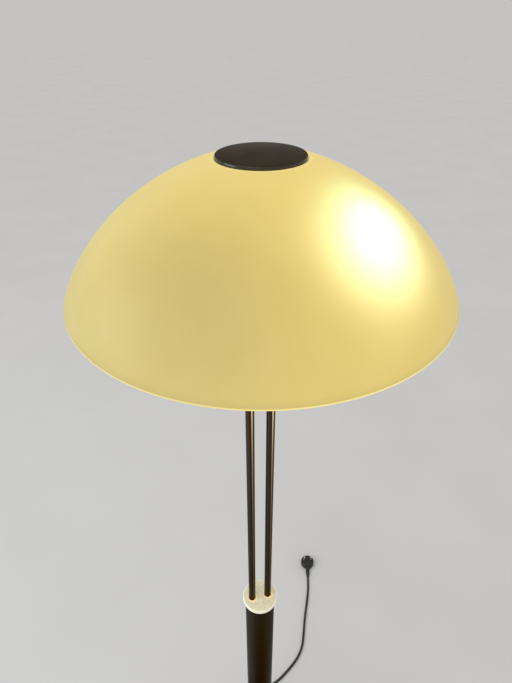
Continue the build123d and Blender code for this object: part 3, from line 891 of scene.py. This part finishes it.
def makeCollar():
    facts = collarFacts
    low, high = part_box("collar")
    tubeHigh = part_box("stem_tube")[1]
    bore = tubeHigh.x - stemFacts["wall"] - seatGap
    rounding, sink = facts["rounding"], facts["countersink"]
    outline = [
        (0, low.z), (bore, low.z, facts["spigotRounding"]), (bore, tubeHigh.z),
        (high.x, tubeHigh.z, rounding), (high.x, high.z, rounding), (0, high.z),
    ]
    body = meshFrom(turnOutline(outline, facts["steps"]), "collarBody")
    cutters = []
    places = []
    for node in ("rod_left", "rod_right"):
        rodLow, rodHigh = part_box(node)
        rodRadius = (rodHigh.x - rodLow.x) / 2
        hole = rodRadius + facts["holeGap"]
        places.append(rodLow.x + rodRadius)
        drill = [
            (0, low.z - sink), (hole, low.z - sink), (hole, high.z - sink),
            (hole + 2 * sink, high.z + sink), (0, high.z + sink),
        ]
        bm = moved(turnOutline(drill, facts["holeSteps"]), places[-1], 0, 0)
        cutters.append(meshFrom(bm, "drill"))
    body = smoothed(cutWith(body, cutters), sharpAngle=30)
    collar = addObject("guideCollar", body, "base", "cream_plastic", "collar")
    edges = collar.modifiers.new("softEdges", "BEVEL")
    edges.width = facts["softEdge"]
    edges.segments = 2
    edges.limit_method = "ANGLE"
    edges.angle_limit = math.radians(40)
    edges.harden_normals = True
    collar.data.materials.append(collarPlastic(places, rodRadius))


makeCollar()
print("collar cut")


# strain relief at the foot

reliefFacts = {
    "tip": 0.0037,
    "root": 0.005,
    "rounding": 0.0004,
    "ribs": 7,
    "plainRun": 0.5,  # at the tip, in ribs
    "groove": ((0.15, 0.0), (0.3, 1.0), (0.6, 1.0), (0.75, 0.0)),  # place in a rib, and depth
    "grooveDepth": 0.0005,
    "steps": 48,
}


def makeStrainRelief(finish):
    facts = reliefFacts
    low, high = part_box("strain_relief")
    tipX, shoulderX = low.x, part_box("foot_cover")[0].x
    tip, root, rounding = facts["tip"], facts["root"], facts["rounding"]
    outline = [(0, high.x), (root, high.x, rounding), (root, shoulderX)]
    runs = facts["ribs"] + facts["plainRun"]
    pitch = (shoulderX - tipX) / runs
    for k in range(facts["ribs"]):
        for part, depth in facts["groove"]:
            share = (k + part) / runs
            radius = root + (tip - root) * share
            outline.append((radius - depth * facts["grooveDepth"], shoulderX - (k + part) * pitch))
    outline += [(tip, tipX, rounding), (0, tipX)]
    bm = moved(turnOutline(outline, facts["steps"], alongX=True), 0, 0, (low.z + high.z) / 2)
    return addPiece("strainRelief", bm, "base", "black_rubber", "strain_relief", finish)


# mains plug: a round body with grips, and a ribbed neck for the cord

plugFacts = {
    "radius": 0.019,
    "height": 0.017,
    "rounding": 0.003,
    "faceRadius": 0.0135,
    "faceInner": 0.0132,
    "faceDepth": 0.0003,
    "steps": 90,
    "neckLength": 0.027,
    "neckOverlap": 0.004,
    "tip": 0.0042,
    "root": 0.007,
    "rootHeight": 0.0075,
    "cordHeight": 0.003,
    "ribs": 6,
    "ribDepth": 0.0005,
    "ribEnd": 0.92,  # share of the neck that has ribs
    "neckSteps": 48,
    "grips": 5,  # on each side
    "gripStart": 66,  # degrees from the neck's far side
    "gripStep": 12,
    "gripSize": (0.0012, 0.0016, 0.009),
    "floorGap": 0.00001,
}


def plugNeck():
    # rings from the cord to the plug's body, each one larger and higher, with shallow ribs
    facts = plugFacts
    bm = bmesh.new()
    length = facts["neckLength"] + facts["neckOverlap"]
    stations = facts["ribs"] * 4 + 2
    radius, height = facts["tip"], facts["cordHeight"]
    ring = bmesh.ops.create_circle(
        bm, segments=facts["neckSteps"], radius=radius, cap_ends=True
    )["verts"]
    bmesh.ops.rotate(
        bm, verts=ring, cent=(0, 0, 0), matrix=Matrix.Rotation(math.radians(90), 3, "Y")
    )
    bmesh.ops.translate(bm, verts=ring, vec=(0, 0, height))
    face = bm.faces[:][0]
    for k in range(1, stations + 1):
        share = min(k * length / stations / facts["neckLength"], 1)
        groove = facts["ribDepth"] if k % 4 in (1, 2) and share < facts["ribEnd"] else 0
        newRadius = facts["tip"] + (facts["root"] - facts["tip"]) * share - groove
        newHeight = facts["cordHeight"] + (facts["rootHeight"] - facts["cordHeight"]) * share
        face = bmesh.ops.extrude_discrete_faces(bm, faces=[face])["faces"][0]
        centre = face.calc_center_median()
        bmesh.ops.scale(
            bm, verts=face.verts, vec=[newRadius / radius] * 3,
            space=Matrix.Translation(-centre),
        )
        bmesh.ops.translate(bm, verts=face.verts, vec=(length / stations, 0, newHeight - height))
        radius, height = newRadius, newHeight
    bmesh.ops.recalc_face_normals(bm, faces=bm.faces)
    return meshFrom(bm, "plugNeck")


def gripGrooves(centre):
    facts = plugFacts
    bm = bmesh.new()
    rim = Matrix.Translation((facts["radius"], 0, 0)) @ Matrix.Rotation(math.radians(90), 4, "Z")
    for side in (-1, 1):
        for k in range(facts["grips"]):
            bar = bmesh.ops.create_cube(bm, size=1)["verts"]
            bmesh.ops.scale(bm, verts=bar, vec=facts["gripSize"])
            angle = math.radians(side * (facts["gripStart"] + facts["gripStep"] * k))
            turn = Matrix.Rotation(angle, 4, "Z")
            spot = Matrix.Translation((centre, 0, facts["height"] / 2)) @ turn
            bmesh.ops.transform(bm, verts=bar, matrix=spot @ rim)
    return meshFrom(bm, "gripGrooves")


def makePlug(finish):
    facts = plugFacts
    centre = facts["neckLength"] + facts["radius"] - facts["neckOverlap"]
    top, rounding = facts["height"], facts["rounding"]
    sunk = top - facts["faceDepth"]
    outline = [
        (0, 0), (facts["radius"], 0, rounding), (facts["radius"], top, rounding),
        (facts["faceRadius"], top), (facts["faceInner"], sunk), (0, sunk),
    ]
    puck = meshFrom(moved(turnOutline(outline, facts["steps"]), centre, 0, 0), "plugPuck")
    body = cutWith(cutWith(puck, [plugNeck()], "UNION"), [gripGrooves(centre)])
    bm = bmesh.new()
    bm.from_mesh(body)
    cut = bmesh.ops.bisect_plane(
        bm, geom=bm.verts[:] + bm.edges[:] + bm.faces[:], plane_co=(0, 0, facts["floorGap"]),
        plane_no=(0, 0, -1), clear_outer=True,
    )
    openEdges = [edge for edge in cut["geom_cut"] if isinstance(edge, bmesh.types.BMEdge)]
    bmesh.ops.holes_fill(bm, edges=openEdges)
    end, before = Vector(cordRoute[-1]), Vector(cordRoute[-2])
    way = (end - before).normalized()
    turn = Matrix.Rotation(math.atan2(way.y, way.x), 4, "Z")
    spot = Matrix.Translation((end.x, end.y, 0)) @ turn
    bmesh.ops.transform(bm, verts=bm.verts, matrix=spot)
    return addPiece("mainsPlug", bm, "base", "black_plastic", "mains_plug", finish, sharpAngle=30)


rubber = mouldedPlastic(
    "blackRubber", (0.010, 0.010, 0.010), (0.018, 0.018, 0.018), (0.55, 0.72), 600, 0.0001, 0.35
)
plugPlastic = mouldedPlastic(
    "plugPlastic", (0.010, 0.010, 0.0105), (0.019, 0.019, 0.019), (0.36, 0.5), 1100
)
strainRelief = makeStrainRelief(rubber)
mainsPlug = makePlug(plugPlastic)
print("plug and strain relief made")


# zinc plate, for the small steel pieces and, drawn along X, the bulb's cap

zincFinish = {
    "dark": (0.40, 0.41, 0.41), "light": (0.56, 0.57, 0.56), "edgeTint": (1, 1, 1),
    "roughness": (0.30, 0.42), "lineRoughness": 0.04, "lineScale": 500, "lineDepth": 0.00002,
    "smudgeScale": 90, "stretch": (1, 1, 0.2),
}


# bulb: a lit globe with a threaded metal cap, both along X

bulbFacts = {
    "neckGap": 0.0004,  # between the glass and its cap
    "neckRounding": 0.0004,
    "globeStations": 32,
    "capTaper": 0.004,
    "threadPitch": 0.0036,
    "threadDepth": 0.0006,
    "threads": 5,
    "threadPoints": 6,
    "capRim": 0.0008,
    "capRounding": 0.0003,
    "steps": 96,
    "glassCloud": (70, 2),
    "glassDark": (0.86, 0.82, 0.72),
    "glassLight": (0.92, 0.88, 0.78),
    "warm": (1.0, 0.82, 0.52),
    "neckLight": 0.35,  # share of the light that the neck shows
    "neckReach": 0.018,
    "strength": 1.25,
    "capFinish": {**zincFinish, "stretch": (0.2, 1, 1)},
}


def litGlass():
    facts = bulbFacts
    material, tree, shader = startMaterial("litGlass", {"Roughness": 0.2})
    place = objectPlace(tree)
    cloud = speckle(tree, place, *facts["glassCloud"])
    feed(tree, shader, "Base Color", between(tree, cloud, facts["glassDark"], facts["glassLight"]))
    across = addNode(tree, "SeparateXYZ", {0: place}).outputs["X"]
    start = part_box("bulb_globe")[0].x
    along = spanned(tree, across, facts["neckLight"], 1.0, start, start + facts["neckReach"])
    shineWith(tree, shader, scaled(tree, facts["warm"], along), facts["strength"])
    return material


def makeBulb():
    facts = bulbFacts
    low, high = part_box("bulb_globe")
    axisHeight = (low.z + high.z) / 2
    globe = (high.z - low.z) / 2
    centreX = high.x - globe
    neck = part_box("bulb_cap")[1].y - facts["neckGap"]
    start = math.asin(neck / globe)
    outline = [(0, low.x), (neck, low.x, facts["neckRounding"])]
    for k in range(facts["globeStations"] + 1):
        angle = start + (math.pi - start) * k / facts["globeStations"]
        outline.append((globe * math.sin(angle), centreX - globe * math.cos(angle)))
    outline[-1] = (0, high.x)
    bm = moved(turnOutline(outline, facts["steps"], alongX=True), 0, 0, axisHeight)
    addPiece("bulbGlobe", bm, "bulb", "bulb_glass", "bulb_globe", litGlass())

    low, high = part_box("bulb_cap")
    radius, depth, taper = high.y, facts["threadDepth"], facts["capTaper"]
    points = facts["threadPoints"]
    outline = [(0, low.x), (radius - taper, low.x), (radius - depth, low.x + taper)]
    for k in range(facts["threads"] * points + 1):
        along = low.x + taper + k * facts["threadPitch"] / points
        outline.append((radius - depth * (1 - ripple(k, points)), along))
    outline += [
        (radius, high.x - facts["capRim"]), (radius, high.x, facts["capRounding"]), (0, high.x)
    ]
    bm = moved(turnOutline(outline, facts["steps"], alongX=True), 0, 0, axisHeight)
    finish = drawnSteel("capAluminium", facts["capFinish"])
    addPiece("bulbCap", bm, "bulb", "bulb_aluminium", "bulb_cap", finish)


# lampholder: its outer shell, ribbed at the mouth

holderFacts = {
    "wall": 0.002,
    "ribs": 7,
    "ribDepth": 0.0008,
    "ribPitch": 0.0028,
    "ribPoints": 8,
    "mouth": 0.003,
    "mouthRounding": 0.0008,
    "boreRounding": 0.0004,
    "backRounding": 0.0006,
    "steps": 96,
}


def makeHolder(finish):
    facts = holderFacts
    low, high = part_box("holder_shell")
    radius = high.y
    bore = radius - facts["wall"]
    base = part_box("holder_base")[1]
    seat = base.y + seatGap
    outline = [(seat, low.x), (radius, low.x, facts["backRounding"])]
    first = high.x - facts["mouth"] - facts["ribs"] * facts["ribPitch"]
    points = facts["ribPoints"]
    for k in range(facts["ribs"] * points + 1):
        along = first + k * facts["ribPitch"] / points
        outline.append((radius - facts["ribDepth"] * ripple(k, points), along))
    outline += [
        (radius, high.x, facts["mouthRounding"]), (bore, high.x, facts["boreRounding"]),
        (bore, base.x), (seat, base.x),
    ]
    bm = turnOutline(outline, facts["steps"], closed=True, alongX=True)
    bm = moved(bm, 0, 0, (low.z + high.z) / 2)
    addPiece("holderShell", bm, "head", "holder_plastic", "holder_shell", finish)


holderWhite = mouldedPlastic(
    "holderWhite", (0.70, 0.68, 0.60), (0.78, 0.76, 0.69), (0.38, 0.5), 1000
)
makeBulb()
makeHolder(holderWhite)
print("bulb and lampholder made")


# finishes for the nodes that stay as they come

castIronFinish = {
    "dark": (0.018, 0.018, 0.019), "light": (0.034, 0.033, 0.033), "shader": {"Metallic": 0.3},
    "patches": (30, 4), "grain": (260, 6), "roughness": (0.5, 0.75), "relief": (0.6, 0.0004),
}

brassFinish = {
    "dark": (0.60, 0.43, 0.16), "light": (0.76, 0.57, 0.26), "shader": {"Metallic": 1.0},
    "patches": (120, 4), "grain": (800, 2), "roughness": (0.2, 0.38), "relief": (0.2, 0.00003),
    "patchyShine": True,
}

nickelFinish = {**brassFinish, "dark": (0.55, 0.54, 0.51), "light": (0.68, 0.66, 0.62)}


def dressNodes():
    zinc = drawnSteel("zincSteel", zincFinish)
    brass = grainedFinish("brightBrass", brassFinish)
    nickel = grainedFinish("pinNickel", nickelFinish)
    leadWhite = mouldedPlastic(
        "leadWhite", (0.70, 0.69, 0.65), (0.79, 0.78, 0.74), (0.4, 0.5), 700
    )
    black = mouldedPlastic("switchBlack", (0.012, 0.012, 0.013), (0.022, 0.022, 0.022))
    finishes = [
        (zinc, "grub_screws head_stud stud_washer stud_nut holder_bracket bracket_screw"),
        (zinc, "holder_screws stem_plug stem_screws collar_screw carrier_spacer shade_carrier"),
        (zinc, "bridge"),
        (grainedFinish("castIron", castIronFinish), "foot_weight"),
        (rubber, "foot_pads shade_washer"),
        (black, "slide_bush push_switch"),
        (leadWhite, "lead_lower lead_spiral lead_upper head_lead"),
        (holderWhite, "holder_base terminal_block"),
        (brass, "thread_sleeve centre_contact cap_insert bulb_contact"),
        (nickel, "mains_plug_pins"),
    ]
    for finish, names in finishes:
        for name in names.split():
            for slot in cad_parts[name].material_slots:
                slot.material = finish


def makeSpiralLead():
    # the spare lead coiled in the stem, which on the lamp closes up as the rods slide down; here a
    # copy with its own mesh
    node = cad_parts["lead_spiral"]
    finish = node.material_slots[0].material
    mesh = node.data.copy()
    mesh.transform(node.matrix_world)
    mesh.materials.clear()
    mesh.materials.append(finish)
    lead = addObject("spiralLead", mesh, "base", "lead_white", "lead_spiral")
    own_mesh(lead)


dressNodes()
makeSpiralLead()
print("remaining nodes dressed")


# studio: a pale floor without edges, an even sky, one soft sun and the lamp's own warm light

studioFacts = {
    "floor": (0.66, 0.65, 0.64),
    "floorDeep": (0.68, 0.67, 0.66),
    "floorHalf": 150,
    "backdrop": (0.60, 0.59, 0.58),
    "ambient": 0.62,
    "sunStrength": 0.8,
    "sunAngle": 50,
    "sunTurn": (38, 0, -52),
    "windowPlace": (-2.2, 0.15, 1.85),
    "windowSize": (0.9, 1.3),
    "windowPower": 14,
    "windowColour": (0.80, 0.90, 1.0),
    "bulbPower": 0.35,
    "bulbSize": 0.02,
    "bulbColour": (1.0, 0.76, 0.42),
    "bulbInset": 0.0225,  # from the globe's end
    "bulbForward": -0.05,
    "bulbDrop": 0.002,  # below the globe
}


def makeFloor():
    bm = bmesh.new()
    bmesh.ops.create_grid(bm, x_segments=1, y_segments=1, size=studioFacts["floorHalf"])
    mesh = bpy.data.meshes.new("studioFloor")
    bm.to_mesh(mesh)
    bm.free()
    floor = linked("studioFloor", mesh)
    material, tree, shader = startMaterial(
        "floorPaper", {"Roughness": 0.9, "Specular IOR Level": 0.0}
    )
    cloud = speckle(tree, objectPlace(tree), 3, 2)
    paper = between(tree, cloud, studioFacts["floor"], studioFacts["floorDeep"])
    feed(tree, shader, "Base Color", paper)
    mesh.materials.append(material)


def makeSky():
    # rays from the camera, mirrors and glass meet the backdrop, all others the even light
    world = bpy.data.worlds.new("studioSky")
    bpy.context.scene.world = world
    world.use_nodes = True
    tree = world.node_tree
    ground = tree.nodes["Background"]
    ground.inputs["Color"].default_value = (1, 1, 1, 1)
    ground.inputs["Strength"].default_value = studioFacts["ambient"]
    seen = addNode(tree, "Background", {"Color": (*studioFacts["backdrop"], 1), "Strength": 1.0})
    rays = addNode(tree, "LightPath").outputs
    share = onNumbers(tree, "MAXIMUM", rays["Is Camera Ray"], rays["Is Glossy Ray"])
    share = onNumbers(tree, "MAXIMUM", share, rays["Is Transmission Ray"])
    mix = addNode(
        tree, "MixShader", {0: share, 1: ground.outputs[0], 2: seen.outputs[0]}
    )
    tree.links.new(mix.outputs[0], tree.nodes["World Output"].inputs["Surface"])


def addLamp(name, kind, **values):
    light = bpy.data.lights.new(name, kind)
    for key, value in values.items():
        setattr(light, key, value)
    return linked(name, light)


def makeLamps():
    facts = studioFacts
    sun = addLamp(
        "softSun", "SUN", energy=facts["sunStrength"], angle=math.radians(facts["sunAngle"])
    )
    sun.rotation_euler = [math.radians(turn) for turn in facts["sunTurn"]]
    window = addLamp(
        "windowLight", "AREA", shape="RECTANGLE", size=facts["windowSize"][0],
        size_y=facts["windowSize"][1], energy=facts["windowPower"], color=facts["windowColour"],
    )
    window.location = facts["windowPlace"]
    towards = Vector((0, 0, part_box("shade")[0].z)) - window.location
    window.rotation_euler = towards.to_track_quat("-Z", "Z").to_euler()
    lamp = addLamp(
        "bulbGlow", "POINT", shadow_soft_size=facts["bulbSize"], energy=facts["bulbPower"],
        color=facts["bulbColour"],
    )
    low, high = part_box("bulb_globe")
    lamp.location = (high.x - facts["bulbInset"], facts["bulbForward"], low.z - facts["bulbDrop"])
    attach(lamp, "head")


makeFloor()
makeSky()
makeLamps()
bpy.context.scene.view_settings.view_transform = "Standard"
print("studio set")
